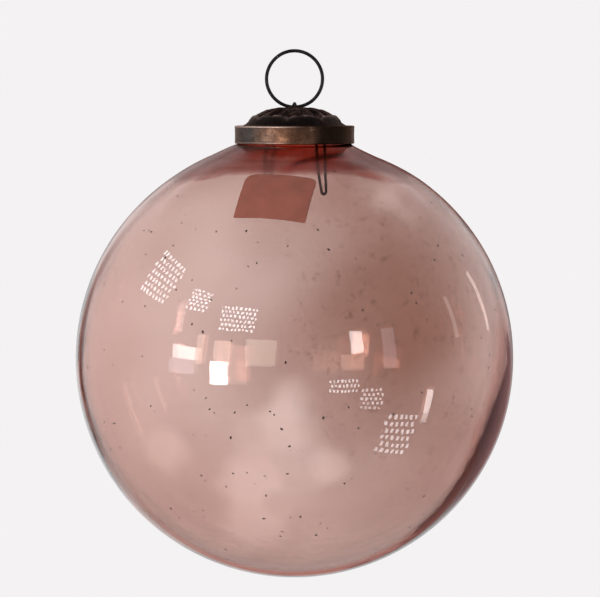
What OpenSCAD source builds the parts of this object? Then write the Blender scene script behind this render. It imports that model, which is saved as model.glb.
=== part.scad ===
// Hanging glass ball ornament: a blown glass ball with a short neck, a pressed metal cap
// made of a collar and an embossed leaf crown, a spring wire clip that holds the cap in
// the neck, a wire ring to hang it by, and a bare paper label.
// Millimetres. The origin is the point inside the top of the ring where a hook bears,
// +Z is up, and -Y is the front, the side that the label faces.

/* [Glass ball] */
// Outer diameter of the ball
ball_d = 127; // [110:1:150]
// Thickness of the ball's wall at its equator
ball_wall = 1.8; // [1.4:0.1:2.6]
// How far the hollow sits below the ball's centre, which leaves the top thicker
hollow_drop = 0.5; // [0:0.1:0.8]
// Thickness of the neck's wall
neck_wall = 2.2; // [1.6:0.1:2.8]
// Slope of the cone that leads from the ball up to the neck, in degrees
shoulder_slope = 25; // [22:0.5:32]
// Radius of the curve between the cone and the neck, outside
shoulder_r = 0.4; // [0.3:0.05:0.45]
// Radius of the edge between the neck's bore and the hollow
throat_r = 2; // [1:0.1:3]

/* [Cap] */
// Outer diameter of the collar
collar_d = 34.6; // [30:0.2:40]
// Height of the collar
collar_h = 5.2; // [4.8:0.1:9]
// Thickness of the collar's and the crown's sheet
sheet = 0.5; // [0.4:0.05:0.8]
// Width of the collar's ledge, which the crown stands on
ledge_w = 3; // [2.2:0.1:3.4]
// Radius of the rolled edges at the collar's top and bottom
roll_r = 0.4; // [0.35:0.05:0.5]
// How far the rolled edges stand out from the collar
roll_out = 0.05; // [0:0.05:0.15]

/* [Crown] */
// Height of the crown above the ledge
crown_h = 5.6; // [4.4:0.1:8]
// Height of the plain skirt below the leaves
skirt_h = 2.1; // [1.5:0.1:2.6]
// Depth of the dish in the middle of the crown, which the ring hangs into
dish = 1.05; // [0.6:0.05:1.2]
// Radius of the dish
dish_r = 5.2; // [4.6:0.1:5.6]
// Width of ledge left bare round the crown's foot
ledge_bare = 2.3; // [1.6:0.1:2.5]
// Number of leaves
leaf_count = 8; // [6:1:10]
// Direction of the first leaf's tip, turned from the front towards the right
leaf_turn = -11; // [-45:1:45]
// Radius of the leaf tips, as a share of the crown's
tip_share = 0.89; // [0.86:0.005:0.91]
// Radius of the notches between the leaves, as a share of the crown's
notch_share = 0.8; // [0.76:0.005:0.85]
// Radius of the small leaves round the top, as a share of the crown's
rosette_share = 0.4; // [0.32:0.01:0.46]
// How far the embossed leaves stand up
emboss = 0.5; // [0.2:0.05:0.6]
// How far the leaves lean round between their root and their tip, in degrees
leaf_swirl = 16; // [0:1:20]

/* [Hanging ring] */
// Diameter of the ring, measured between the centres of its wire
ring_d = 16.2; // [13:0.1:20]
// Diameter of the ring's wire
ring_wire = 1; // [0.7:0.05:1.2]
// Width of the butt joint where the ring's wire meets itself
ring_joint = 0.12; // [0.1:0.01:0.3]
// Place of the butt joint, in degrees round from the right
ring_joint_at = 128; // [30:1:150]

/* [Spring clip] */
// Diameter of the clip's wire
clip_wire = 0.8; // [0.6:0.05:0.9]
// How far the clip's loop is turned round from facing the front
loop_turn = 18; // [0:1:22]
// Direction of the right leg's root, turned from the right towards the front
leg_turn = 59; // [30:1:80]
// How far round each leg leans between its root and its tip
leg_lean = 7; // [0:1:10]
// How far the legs reach below the collar
leg_reach = 14.6; // [8:0.1:20]
// Width of each leg's hairpin at its root, between wire centres
leg_root_w = 2.7; // [2.2:0.1:3.4]
// Width of each leg's hairpin at its tip, between wire centres
leg_tip_w = 1.7; // [1.4:0.1:2.1]
// Radius of the bends between the loop and the legs
clip_bend = 1.5; // [1:0.1:1.8]

/* [Label] */
// Width of the label
label_w = 20; // [12:0.5:26]
// Height of the label
label_h = 18; // [12:0.5:26]
// Thickness of the label's paper
label_t = 0.15; // [0.1:0.05:0.3]
// Direction of the label, turned from the front towards the right
label_turn = -7.5; // [-30:0.5:30]
// Height of the label's middle above the ball's equator, in degrees
label_rise = 50.6; // [20:0.2:52]
// How far the label is turned clockwise on the glass
label_tilt = 5.5; // [-20:0.5:20]

/* [Fits] */
// Play between the neck and the collar, all round
cap_play = 0.6; // [0.3:0.05:0.9]
// Gap between the glass and the cap, above the lip and under the collar
seat_gap = 0.25; // [0.15:0.05:0.5]
// Gap between the clip's legs and the neck's bore
leg_gap = 0.3; // [0.2:0.05:0.6]
// Play of the ring's wire in the clip's loop
loop_play = 0.16; // [0.14:0.01:0.24]
// Gap between the ring's wire and the top of the crown
ring_gap = 0.3; // [0.25:0.05:0.6]
// Gap round the clip's wires in the crown's hole
hole_gap = 0.25; // [0.15:0.05:0.5]
// Layer of glue under the label
label_glue = 0.05; // [0.03:0.01:0.1]

/* [Hidden] */
$fn = 96;

// Angle at which the shoulder's cone crosses the ball's surface
cone_cut = 3;
// How full the crown's dome and its skirt are
dome_power = 2.2;
skirt_power = 0.85;
// Half the width of the leaves' raised edges, as a share of the crown's radius
edge_share = 0.025;
// How far the small leaves' edges are scalloped, as a share of their radius
rosette_bite = 0.16;
// Sections of the crown in one leaf's pitch
leaf_steps = 12;

// Radii, from the collar inwards
ball_r = ball_d / 2;
collar_r = collar_d / 2;
neck_r = collar_r - sheet - cap_play;
bore_r = neck_r - neck_wall;
hollow_r = ball_r - ball_wall;
ledge_r = collar_r - ledge_w;
crown_r = collar_r - ledge_bare;
leg_r = bore_r - leg_gap - clip_wire / 2;

// The loop goes round the ring's wire, and its two wires go through the crown's hole
loop_r = ring_wire / 2 + loop_play + clip_wire / 2;
hole_r = loop_r + clip_wire / 2 + hole_gap;

// Heights, from the hanging point down
ring_r = ring_d / 2;
ring_z = ring_wire / 2 - ring_r;
swing_z = ring_z - ring_r;
dish_z = swing_z - ring_wire / 2 - ring_gap;
ledge_z = dish_z + dish - crown_h;
collar_z = ledge_z - collar_h;
lip_z = ledge_z - sheet - seat_gap;
roll_x = collar_r + roll_out - roll_r;
ball_z = collar_z + roll_r - (roll_r + seat_gap) / cos(shoulder_slope) - cone_height(ball_r, roll_x);
leg_tip_z = collar_z - leg_reach;

// Height of the shoulder's cone above the centre of a ball, at a radius
function cone_height(ball, r) = (ball * cos(cone_cut) - r * sin(shoulder_slope)) / cos(shoulder_slope);

function unit(v) = v / norm(v);
function mix(a, b, share) = a + (b - a) * share;
function turned(p, angle) =
    [p.x * cos(angle) - p.y * sin(angle), p.x * sin(angle) + p.y * cos(angle), p.z];

// Glass ball

// A ball with a cone up to a straight neck, joined to the neck by a curve of radius r
// The curve is a hair wider than that, so that it crosses both surfaces and has clean ends
module bottle(neck, ball, r, height) {
    foot = ball * sin(shoulder_slope);
    foot_z = cone_height(ball, foot);
    centre = [neck + r, cone_height(ball, neck + r) + r / cos(shoulder_slope)];
    inside = centre - 2 * r * [sin(shoulder_slope), cos(shoulder_slope)];
    difference() {
        union() {
            sphere(ball);
            cylinder(r = neck, h = height);
            translate([0, 0, foot_z])
            cylinder(r1 = foot, r2 = neck, h = cone_height(ball, neck) - foot_z);
            rotate_extrude() polygon([[neck - r, centre.y], centre, inside, [neck - r, inside.y]]);
        }
        rotate_extrude() translate(centre) circle(1.01 * r);
    }
}

module glass_ball() {
    lip_r = neck_wall / 2;
    lip_h = lip_z - lip_r - ball_z;
    color([0.80, 0.60, 0.57, 0.45])
    translate([0, 0, ball_z])
    difference() {
        union() {
            bottle(neck_r, ball_r, shoulder_r, lip_h);
            rotate_extrude() translate([neck_r - lip_r, lip_h]) circle(1.004 * lip_r);
        }
        translate([0, 0, -hollow_drop])
        bottle(bore_r, hollow_r, throat_r, lip_h + hollow_drop + 2 * lip_r);
    }
}

// Cap

module cap_collar() {
    color("#6b4c3c")
    rotate_extrude() {
        translate([collar_r - sheet, collar_z + roll_r]) square([sheet, collar_h - 2 * roll_r]);
        translate([ledge_r, ledge_z - sheet]) square([roll_x - ledge_r, sheet]);
        translate([roll_x, ledge_z - roll_r]) circle(roll_r);
        translate([roll_x, collar_z + roll_r]) circle(roll_r);
    }
}

// Height of the plain dome above the ledge, before it is embossed
function dome(r) =
    let (
        rim_r = crown_r * (tip_share + notch_share) / 2,
        hollow = dish * pow(cos(90 * min(1, r / dish_r)), 2)
    )
    r < rim_r
    ? crown_h - (crown_h - skirt_h) * pow(r / rim_r, dome_power) - hollow
    : skirt_h * (1 - pow((r - rim_r) / (crown_r - rim_r), skirt_power));

// Rounded arch over one pitch of the leaves: 0 at the tips, 1 at the notch between them
function arch(pitch) = sqrt(max(0, 1 - pow(2 * pitch - 1, 2)));
function in_pitch(pitch) = pitch - floor(pitch);

// A point of the crown's section: its radius and its height above the ledge
function crown_point(r, rise) = [r, dome(r) + emboss * rise];

// One radial section of the crown's outside, at a place between 0 and 1 in a leaf's pitch
function crown_section(pitch) =
    let (
        edge = edge_share * crown_r,
        rib = cos(360 * pitch),
        rosette = crown_r * rosette_share * (1 - rosette_bite * arch(in_pitch(pitch + 0.5))),
        leaf = crown_r * mix(tip_share, notch_share, arch(pitch))
    )
    concat(
        [for (share = [0, 0.45, 0.75])
            crown_point(mix(hole_r, rosette - edge, share), -0.4 * rib * share)],
        [crown_point(rosette - edge, 0.35 - 0.2 * rib), crown_point(rosette, 0.25 - 0.2 * rib)],
        [crown_point(rosette + edge, -0.35)],
        [for (share = [0.2, 0.4, 0.6, 0.8])
            crown_point(mix(rosette + edge, leaf - edge, share), -0.2 + 0.7 * rib * sin(180 * share))],
        [crown_point(leaf - edge, 0.2), crown_point(leaf, 0.45), crown_point(leaf + edge, -0.4)],
        [for (share = [0.3, 0.55, 0.8])
            crown_point(mix(leaf + edge, crown_r, share), 0.5 * arch(pitch) * sin(180 * share) - 0.15)],
        [[crown_r, 0]]
    );

// One radial section of the plain inside, from the foot to the hole
function crown_lining() =
    let (foot_r = crown_r - 1.6 * sheet, top = 1 - (sheet + 0.9 * emboss) / crown_h)
    [for (share = [1, 0.9, 0.75, 0.5, 0.25, 0])
        let (r = mix(hole_r, foot_r, share))
        [r, top * dome(r * crown_r / foot_r)]];

// Each section is joined to the next one, all the way round
module cap_crown() {
    steps = leaf_steps * leaf_count;
    sections = [for (i = [0 : steps - 1])
        concat(crown_section(in_pitch(i / leaf_steps)), crown_lining())];
    rows = len(sections[0]);
    points = [for (i = [0 : steps - 1], p = sections[i])
        let (
            swirl = leaf_swirl * (1 - p[0] / crown_r),
            angle = i * 360 / steps + leaf_turn + swirl - 90
        )
        [p[0] * cos(angle), p[0] * sin(angle), ledge_z + p[1]]];
    faces = [for (i = [0 : steps - 1], j = [0 : rows - 1])
        let (
            here = i * rows,
            next = (i + 1) % steps * rows,
            k = (j + 1) % rows
        )
        each [[here + j, here + k, next + j], [next + j, here + k, next + k]]];
    color("#3b322d") polyhedron(points, faces);
}

// Wire

// Points round the bend of a wire at corner b, on its way from a to c
function bend(a, b, c, r, steps) =
    let (
        back = unit(a - b),
        on = unit(c - b),
        half = acos(back * on) / 2,
        centre = b + unit(back + on) * r / sin(half),
        start = b + back * r / tan(half) - centre
    )
    [for (i = [0 : steps])
        let (angle = i * (180 - 2 * half) / steps)
        centre + start * cos(angle) - back * r * sin(angle)];

// Half of the clip: from the loop's foot down through the hole, out to a leg, round its tip and back
function clip_half() =
    let (
        root = -leg_turn,
        tip = root + leg_lean,
        out = [cos(tip), sin(tip), 0],
        along = [sin(tip), -cos(tip), 0],
        foot = loop_point(0),
        under = turned([0, -loop_r, dish_z - sheet - clip_bend], loop_turn),
        shoulder = leg_point(root, leg_root_w / 2, ledge_z - sheet - clip_wire),
        end = leg_point(root, -leg_root_w / 2, lip_z - neck_wall),
        tip_z = leg_tip_z + leg_tip_w / 2 + clip_wire / 2,
        tip_in = leg_point(tip, leg_tip_w / 2, tip_z)
    )
    concat(
        bend(foot, under, shoulder, clip_bend, 6),
        bend(under, shoulder, tip_in, clip_bend, 6),
        [for (i = [0 : 10])
            leg_r * out + [0, 0, tip_z]
            + leg_tip_w / 2 * (along * cos(18 * i) - [0, 0, sin(18 * i)])],
        [end]
    );

// A point of the loop over the ring's wire, at an angle round from its front foot
function loop_point(angle) =
    turned([0, -loop_r * cos(angle), swing_z + loop_r * sin(angle)], loop_turn);

// A point of a leg, at a sideways distance from its middle line
function leg_point(angle, side, z) = turned([leg_r, -side, z], angle);

function clip_route() =
    let (half = clip_half())
    concat(
        [for (i = [len(half) - 1 : -1 : 0]) half[i]],
        [for (i = [0 : 14]) loop_point(i * 180 / 14)],
        [for (p = half) turned(p, 180)]
    );

// Round wire swept along a route, as one unbroken tube
module wire(route, d, sides = 12) {
    count = len(route);
    heading = [for (i = [0 : count - 1]) unit(route[min(i + 1, count - 1)] - route[max(i - 1, 0)])];
    across = [for (i = 0, v = unit(cross(heading[0], [0.3, 0.5, 0.8])); i < count;
        i = i + 1, v = i < count ? unit(v - heading[i] * (v * heading[i])) : v) v];
    points = [for (i = [0 : count - 1], j = [0 : sides - 1])
        let (angle = j * 360 / sides)
        route[i] + d / 2 * (across[i] * cos(angle) + cross(heading[i], across[i]) * sin(angle))];
    sleeve = [for (i = [0 : count - 2], j = [0 : sides - 1])
        let (k = (j + 1) % sides, a = i * sides, b = a + sides)
        each [[a + j, b + j, a + k], [a + k, b + j, b + k]]];
    ends = [
        [for (j = [0 : sides - 1]) j],
        [for (j = [sides - 1 : -1 : 0]) (count - 1) * sides + j]
    ];
    polyhedron(points, concat(sleeve, ends));
}

module spring_clip() {
    color("#3d2b27") wire(clip_route(), clip_wire);
}

module hanging_ring() {
    joint_angle = ring_joint / ring_r * 180 / PI;
    color("#2e2b2a")
    translate([0, 0, ring_z])
    rotate([90, 0, 0])
    rotate([0, 0, ring_joint_at + joint_angle / 2])
    rotate_extrude(angle = 360 - joint_angle)
    translate([ring_r, 0]) circle(ring_wire / 2, $fn = 32);
}

// Label

module paper_label() {
    inside_r = ball_r + label_glue;
    depth = pow(label_w, 2) / ball_r + pow(label_h, 2) / ball_r;
    color("#8e5448")
    translate([0, 0, ball_z])
    intersection() {
        difference() {
            sphere(inside_r + label_t);
            sphere(inside_r);
        }
        rotate([90 - label_rise, 0, label_turn])
        translate([0, 0, inside_r - depth])
        linear_extrude(depth + 1)
        rotate(-label_tilt)
        square([label_w, label_h], center = true);
    }
}

glass_ball();
cap_collar();
cap_crown();
spring_clip();
hanging_ring();
paper_label();
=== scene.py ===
import math
import bpy
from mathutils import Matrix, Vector, noise


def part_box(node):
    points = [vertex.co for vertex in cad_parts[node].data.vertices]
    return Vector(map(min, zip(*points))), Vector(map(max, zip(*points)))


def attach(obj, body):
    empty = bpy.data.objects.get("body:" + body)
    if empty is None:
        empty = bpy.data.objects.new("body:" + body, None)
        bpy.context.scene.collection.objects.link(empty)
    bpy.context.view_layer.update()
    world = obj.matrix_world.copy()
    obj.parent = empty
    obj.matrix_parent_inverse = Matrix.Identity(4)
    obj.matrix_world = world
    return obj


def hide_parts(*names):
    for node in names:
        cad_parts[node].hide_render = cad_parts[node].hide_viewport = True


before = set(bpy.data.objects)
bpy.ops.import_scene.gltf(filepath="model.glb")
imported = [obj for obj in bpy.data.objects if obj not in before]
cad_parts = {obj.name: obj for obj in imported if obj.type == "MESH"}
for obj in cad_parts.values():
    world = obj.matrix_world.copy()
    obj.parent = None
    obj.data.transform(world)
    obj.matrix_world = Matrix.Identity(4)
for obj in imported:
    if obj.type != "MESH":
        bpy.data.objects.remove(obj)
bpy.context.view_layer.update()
scene = bpy.context.scene
mm = 0.001  # lengths are in metres, written as millimetres times mm
print("frame loaded:", ", ".join(sorted(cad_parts)))

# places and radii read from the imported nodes
ballLow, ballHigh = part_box("glass_ball")
collarLow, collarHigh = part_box("cap_collar")
ringLow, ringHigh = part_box("hanging_ring")
ballRadius = (ballHigh.x - ballLow.x) / 2
ballCentre = Vector((0, 0, ballLow.z + ballRadius))
collarRadius = collarHigh.x
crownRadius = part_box("cap_crown")[1].x
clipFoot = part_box("spring_clip")[0].z
ringWire = ringHigh.y - ringLow.y
ledgeZ = collarHigh.z
lipZ = ballHigh.z


# general helpers

def mix(a, b, share):
    return a + (b - a) * share


def smooth(low, high, value):
    t = min(1, max(0, (value - low) / (high - low)))
    return t * t * (3 - 2 * t)


def arcPoints(centre, radius, start, end, steps):
    angles = [math.radians(mix(start, end, i / steps)) for i in range(steps + 1)]
    return [(centre[0] + radius * math.cos(a), centre[1] + radius * math.sin(a)) for a in angles]


def linePoints(start, end, steps):
    return [(mix(start[0], end[0], i / steps), mix(start[1], end[1], i / steps)) for i in range(1, steps)]


def makePiece(name, points, faces, material):
    mesh = bpy.data.meshes.new(name)
    mesh.from_pydata(points, [], faces)
    mesh.polygons.foreach_set("use_smooth", [True] * len(mesh.polygons))
    mesh.materials.append(material)
    mesh.update()
    piece = bpy.data.objects.new(name, mesh)
    scene.collection.objects.link(piece)
    return piece


def addTrait(piece, name, values):
    # a value for each point, which the finish reads
    trait = piece.data.attributes.new(name, "FLOAT", "POINT")
    trait.data.foreach_set("value", values)


def softDisc(name, middle, across, up, steps, dense, material):
    # a flat oval sheet, dense in the middle, that fades out to its edge
    turns = [2 * math.pi * i / steps for i in range(steps)]
    points = [middle] + [middle + across * math.cos(t) + up * math.sin(t) for t in turns]
    faces = [(0, 1 + i, 1 + (i + 1) % steps) for i in range(steps)]
    disc = makePiece(name, points, faces, material)
    addTrait(disc, "cover", [dense] + [0.0] * steps)
    return disc


def lathe(outline, turns, shape, loop):
    # points and faces of an outline turned about Z; shape(point, index) moves each point
    points, rows = [], []
    for i, (r, z) in enumerate(outline):
        count = 1 if r < 1e-9 else turns
        rows.append([len(points) + k for k in range(count)])
        for k in range(count):
            angle = 2 * math.pi * k / turns
            points.append(shape(Vector((r * math.cos(angle), r * math.sin(angle), z)), i))
    faces = []
    for i in range(len(rows) if loop else len(rows) - 1):
        low, high = rows[i], rows[(i + 1) % len(rows)]
        for k in range(turns):
            corners = [low[k % len(low)], low[(k + 1) % len(low)]]
            corners += [high[(k + 1) % len(high)], high[k % len(high)]]
            faces.append(list(dict.fromkeys(corners)))
    return points, faces


def finishPiece(piece, body, slot, *nodes):
    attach(piece, body)
    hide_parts(*nodes)
    print("piece made:", piece.name, len(piece.data.polygons), "faces")


def newTree(name, *inputs):
    # an empty node tree with named inputs, and the nodes at its two ends
    tree = bpy.data.node_groups.new(name, "GeometryNodeTree")
    for title, kind in (("Geometry", "Geometry"), *inputs):
        tree.interface.new_socket(title, in_out="INPUT", socket_type="NodeSocket" + kind)
    tree.interface.new_socket("Geometry", in_out="OUTPUT", socket_type="NodeSocketGeometry")
    return tree, tree.nodes.new("NodeGroupInput"), tree.nodes.new("NodeGroupOutput")


def chain(tree, *nodes):
    # joins the first output of each node to the first input of the next
    for here, there in zip(nodes, nodes[1:]):
        tree.links.new(here.outputs[0], there.inputs[0])


def bakeNodes(name, base, tree, settings):
    # runs a node tree on a base mesh and keeps the result as a plain mesh
    holder = bpy.data.objects.new(name + "Base", base)
    scene.collection.objects.link(holder)
    modifier = holder.modifiers.new("nodes", "NODES")
    modifier.node_group = tree
    for item in tree.interface.items_tree:
        if item.in_out == "INPUT" and item.name in settings:
            modifier[item.identifier] = settings[item.name]
    holder.data.update()
    graph = bpy.context.evaluated_depsgraph_get()
    mesh = bpy.data.meshes.new_from_object(holder.evaluated_get(graph))
    holder.modifiers.remove(modifier)
    bpy.data.objects.remove(holder)
    mesh.name = name
    piece = bpy.data.objects.new(name, mesh)
    scene.collection.objects.link(piece)
    return piece


# material helpers

class Finish:
    def __init__(self, name):
        self.material = bpy.data.materials.new(name)
        self.material.use_nodes = True
        self.tree = self.material.node_tree
        self.shader = self.tree.nodes["Principled BSDF"]
        self.output = self.tree.nodes["Material Output"]
        self.place = self.add("ShaderNodeTexCoord").outputs["Object"]

    def add(self, kind, **inputs):
        node = self.tree.nodes.new(kind)
        for name, value in inputs.items():
            node.inputs[name].default_value = value
        return node

    def join(self, source, target):
        self.tree.links.new(source, target)

    def setShader(self, **values):
        for name, value in values.items():
            self.shader.inputs[name.replace("_", " ")].default_value = value

    def cloud(self, size, detail=3.0, rough=0.55, stretch=None):
        node = self.add("ShaderNodeTexNoise", Scale=1 / size, Detail=detail, Roughness=rough)
        place = self.place
        if stretch:
            mapping = self.add("ShaderNodeMapping", Scale=stretch)
            self.join(place, mapping.inputs["Vector"])
            place = mapping.outputs["Vector"]
        self.join(place, node.inputs["Vector"])
        return node.outputs["Fac"]

    def trait(self, name):
        node = self.tree.nodes.new("ShaderNodeAttribute")
        node.attribute_name = name
        return node.outputs["Fac"]

    def ramp(self, factor, *stops):
        node = self.tree.nodes.new("ShaderNodeValToRGB")
        ramp = node.color_ramp
        while len(ramp.elements) < len(stops):
            ramp.elements.new(0.5)
        for element, (position, colour) in zip(ramp.elements, stops):
            element.position = position
            element.color = (*colour, 1) if isinstance(colour, tuple) else (colour, colour, colour, 1)
        self.join(factor, node.inputs["Fac"])
        return node.outputs["Color"]

    def blend(self, kind, factor, first, second):
        node = self.tree.nodes.new("ShaderNodeMix")
        node.data_type = "RGBA"
        node.blend_type = kind
        for socket, value in ((node.inputs[0], factor), (node.inputs[6], first), (node.inputs[7], second)):
            if hasattr(value, "is_output"):
                self.join(value, socket)
            else:
                socket.default_value = (*value, 1) if isinstance(value, tuple) else value
        return node.outputs[2]

    def bump(self, height, strength, distance):
        node = self.add("ShaderNodeBump", Strength=strength, Distance=distance)
        self.join(height, node.inputs["Height"])
        previous = self.shader.inputs["Normal"]
        if previous.is_linked:
            self.join(previous.links[0].from_socket, node.inputs["Normal"])
        self.join(node.outputs["Normal"], previous)

    def fadeOut(self, full):
        # opaque where the cover is full or more, clear where it is 0
        cover = self.ramp(self.trait("cover"), (0.0, 0.0), (full, 1.0))
        self.join(cover, self.shader.inputs["Alpha"])

    def colour(self, source):
        self.join(source, self.shader.inputs["Base Color"])

    def roughness(self, source):
        self.join(source, self.shader.inputs["Roughness"])


# camera, set to the photo's view of the ball in a frame of 600 by 597

view = {
    "distance": 0.7,  # from the ornament's axis
    "height": -0.0135,  # a little above the cap
    "photoWidth": 600, "photoHeight": 597,
    "ballLeft": 75.9, "ballRight": 513.2, "ballBottom": 577.4,  # edges of the ball, in pixels
    "sensor": 36.0,
}


def addCamera():
    eye = Vector((0, -view["distance"], view["height"]))
    toBall = ballCentre - eye
    halfBall = math.asin(ballRadius / toBall.length)
    spread = (view["ballRight"] - view["ballLeft"]) / 2
    focal = spread / math.tan(halfBall)  # pixels, close to the axis
    ballDrop = math.atan2(-toBall.z, toBall.y)
    bottomDrop = math.atan((view["ballBottom"] - view["photoHeight"] / 2) / focal)
    pitch = ballDrop + halfBall - bottomDrop
    aside = (view["ballLeft"] + view["ballRight"] - view["photoWidth"]) / 2
    yaw = math.atan(aside / focal)
    data = bpy.data.cameras.new("camera")
    data.sensor_width = view["sensor"]
    data.lens = focal * view["sensor"] / view["photoWidth"]
    data.clip_start = 0.01
    camera = bpy.data.objects.new("camera", data)
    camera.location = eye
    camera.rotation_euler = (math.pi / 2 - pitch, 0, yaw)
    scene.collection.objects.link(camera)
    scene.camera = camera
    print("camera set: lens", round(data.lens, 1), "pitch", round(math.degrees(pitch), 2))


addCamera()

# glass

glass = {
    "wall": 1.7 * mm, "hollowShift": (0.4 * mm, 0.0, 0.3 * mm),
    "thickAt": -26.0, "thicker": 1.95 * mm, "thickSpread": 22.0,  # heavy fold low on the right, degrees up
    "neckRadius": 16.2 * mm, "neckWall": 2.2 * mm,
    "slope": 25.0, "cut": 3.0,  # degrees, of the cone up to the neck and where it leaves the ball
    "shoulder": 0.4 * mm, "throat": 2 * mm,  # bends from the cone to the neck, outside and inside
    "turns": 256, "ballSteps": 128, "coneSteps": 20, "bendSteps": 10, "neckSteps": 8, "lipSteps": 12,
    "outsideWave": 0.05 * mm, "insideWave": 0.09 * mm, "waveSize": 26 * mm,
    "ripple": 0.5, "rippleRate": 2.6,  # smaller waves inside, as shares of the larger ones
    "outsideCalm": (2 * mm, 16 * mm), "insideCalm": (0, 40 * mm),  # out from the neck, where waves set in
    "sideLift": 0.35 * mm, "liftFrom": 16.5 * mm, "liftTo": 36 * mm,  # the left shoulder stands higher
    "absorbs": (62, 156, 184),  # per metre of glass, red, green and blue
    "absorbsMost": 300,
    "neckTintAndPaintedLight": {
        # heavier colour round the neck, with painted light and painted shade on its front:
        # angles are degrees from the ball's top, and a pair is a fade's two ends
        "edge": 30.2, "edgeBlur": 0.8, "waver": 1.2, "waverSize": 14 * mm,
        "rightRise": 1.4, "rightFade": (0.05, 0.3),  # the edge is higher on the right
        "sideDrop": 4.0, "sideFade": (0.28, 0.5),  # and lower on both shoulders
        "least": 0.1, "most": 0.85, "plain": 0.35, "deeper": 0.55, "deepFade": (30, 14),
        "mottle": 0.35, "mottleRate": 5, "mottleAngle": 2,
        "streak": 0.30, "streakRate": 10, "streakAngle": 9,  # lines drawn down from the neck
        "line": 0.3, "lineInside": 2.2, "lineWidth": 1.3,  # darker just inside the edge
        # painted light: reddest in the middle of the front, duller at its sides, and between the two behind
        "redLeft": (-8 * mm, -3 * mm), "redRight": (18 * mm, 13 * mm),
        "front": (0.06, -0.06), "behind": 0.7, "dull": 0.86,
        # painted shade: a dark band across the front
        "shadeBand": 19.0, "shadeBandWidth": 2.2,
        "shadeBandDrop": 7.5, "shadeBandFrom": -1 * mm, "shadeBandBend": 7 * mm,
        "shadeBandLeft": (-5 * mm, 1 * mm), "shadeBandRight": (18 * mm, 12 * mm),
        # painted highlight: the glass is paler over the painted shade band, on the right
        "clear": 0.6, "clearFade": (7 * mm, 11 * mm), "clearAbove": (-1, -3),  # paler over the crease
    },
    "smokeTintAndPaintedShade": {
        # brown smoke in the glass and painted shade, on the front of the ball: places and sizes are shares
        # of its radius, across and up
        "middle": (0.47, 0.30), "width": 0.54, "height": 0.95, "plain": 0.19, "deepest": 0.78,
        "cloud": 0.14, "cloudSize": 20 * mm, "wisp": 0.3, "wispSize": 7 * mm, "front": (0.15, -0.15),
        "zones": (  # how much darker, its fade across and its fades up
            (-0.08, (0.0, -0.6), (-0.5, 0.1), (0.85, 0.7)),
            (0.10, (0.1, -0.4), (0.0, -0.4)),
            (0.14, (-0.87, -0.95), (0.4, 0.1)),
            (-0.06, (-0.2, 0.1), (-0.5, -0.8)),
        ),
        "patchFade": (1.6, 0.4),
        "patches": (  # across, up, size and how much clearer than round it
            (-0.01, -0.07, 0.08, 0.26), (-0.03, -0.16, 0.10, 0.26), (-0.05, -0.33, 0.18, 0.26),
            (-0.20, -0.45, 0.11, 0.26), (-0.55, -0.32, 0.09, 0.26), (-0.18, -0.66, 0.13, 0.26),
            (0.16, -0.36, 0.07, 0.26), (0.38, 0.83, 0.10, 0.26), (0.49, 0.79, 0.12, 0.26),
            (0.28, 0.66, 0.13, 0.07), (0.80, 0.02, 0.15, 0.06), (0.02, -0.76, 0.12, 0.04),
            (0.58, 0.43, 0.14, -0.04), (-0.57, -0.45, 0.14, -0.04), (0.00, -0.42, 0.15, -0.02),
            (0.80, -0.45, 0.14, 0.12),
        ),
    },
}


def pinkGlass():
    finish = Finish("pinkGlass")
    # deeper colour where the glass is heavy at the neck, with painted light and shade on its front, near
    # black in the painted shade band
    heavyAndPaintedLight = finish.ramp(finish.trait("heavyAndPaintedLight"), (0.0, (1.0, 1.0, 1.0)), (0.5, (0.63, 0.35, 0.32)),
                        (0.85, (0.60, 0.11, 0.06)), (1.0, (0.06, 0.006, 0.004)))
    # smoke in the glass and painted shade darken the front of the glass to brown
    smokeAndPaintedShade = finish.blend("MIX", finish.trait("smokeAndPaintedShade"), (1.0, 1.0, 1.0), (0.33, 0.18, 0.13))
    tint = finish.blend("MULTIPLY", 1.0, heavyAndPaintedLight, smokeAndPaintedShade)
    spots = finish.ramp(finish.cloud(3.2 * mm, 6, 0.85), (0.575, 0.0), (0.65, 1.0))
    where = finish.ramp(finish.trait("smokeAndPaintedShade"), (0.40, 0.0), (0.75, 1.0))
    dirt = finish.blend("MULTIPLY", 1.0, spots, where)
    finish.colour(finish.blend("MULTIPLY", dirt, tint, (0.50, 0.36, 0.30)))
    finish.roughness(finish.ramp(finish.trait("heavyAndPaintedLight"), (0.04, 0.0), (0.2, 0.13)))
    finish.setShader(IOR=1.5, Transmission_Weight=1.0)
    finish.bump(finish.cloud(7 * mm, 2, 0.5), 0.2, 0.15 * mm)
    through = [1 - value / glass["absorbsMost"] for value in glass["absorbs"]]
    volume = finish.add("ShaderNodeVolumeAbsorption", Color=(*through, 1), Density=glass["absorbsMost"])
    finish.join(volume.outputs["Volume"], finish.output.inputs["Volume"])
    return finish.material


def bottleOutline(neck, ball, blend, topZ):
    # outline of a ball with a cone up to its neck, from the bottom up
    slope, cut = math.radians(glass["slope"]), math.radians(glass["cut"])
    centreZ = ballCentre.z

    def coneZ(r):
        return centreZ + (ball * math.cos(cut) - r * math.sin(slope)) / math.cos(slope)

    top = 90 - glass["slope"] + glass["cut"]
    outline = [(0.0, centreZ - ball)]
    outline += arcPoints((0, centreZ), ball, -90, top, glass["ballSteps"])[1:]
    curve = (neck + blend, coneZ(neck + blend) + blend / math.cos(slope))
    bend = arcPoints(curve, blend, 270 - glass["slope"], 180, glass["bendSteps"])
    outline += linePoints(outline[-1], bend[0], glass["coneSteps"]) + bend
    outline += linePoints((neck, curve[1]), (neck, topZ), glass["neckSteps"])
    return outline


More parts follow.
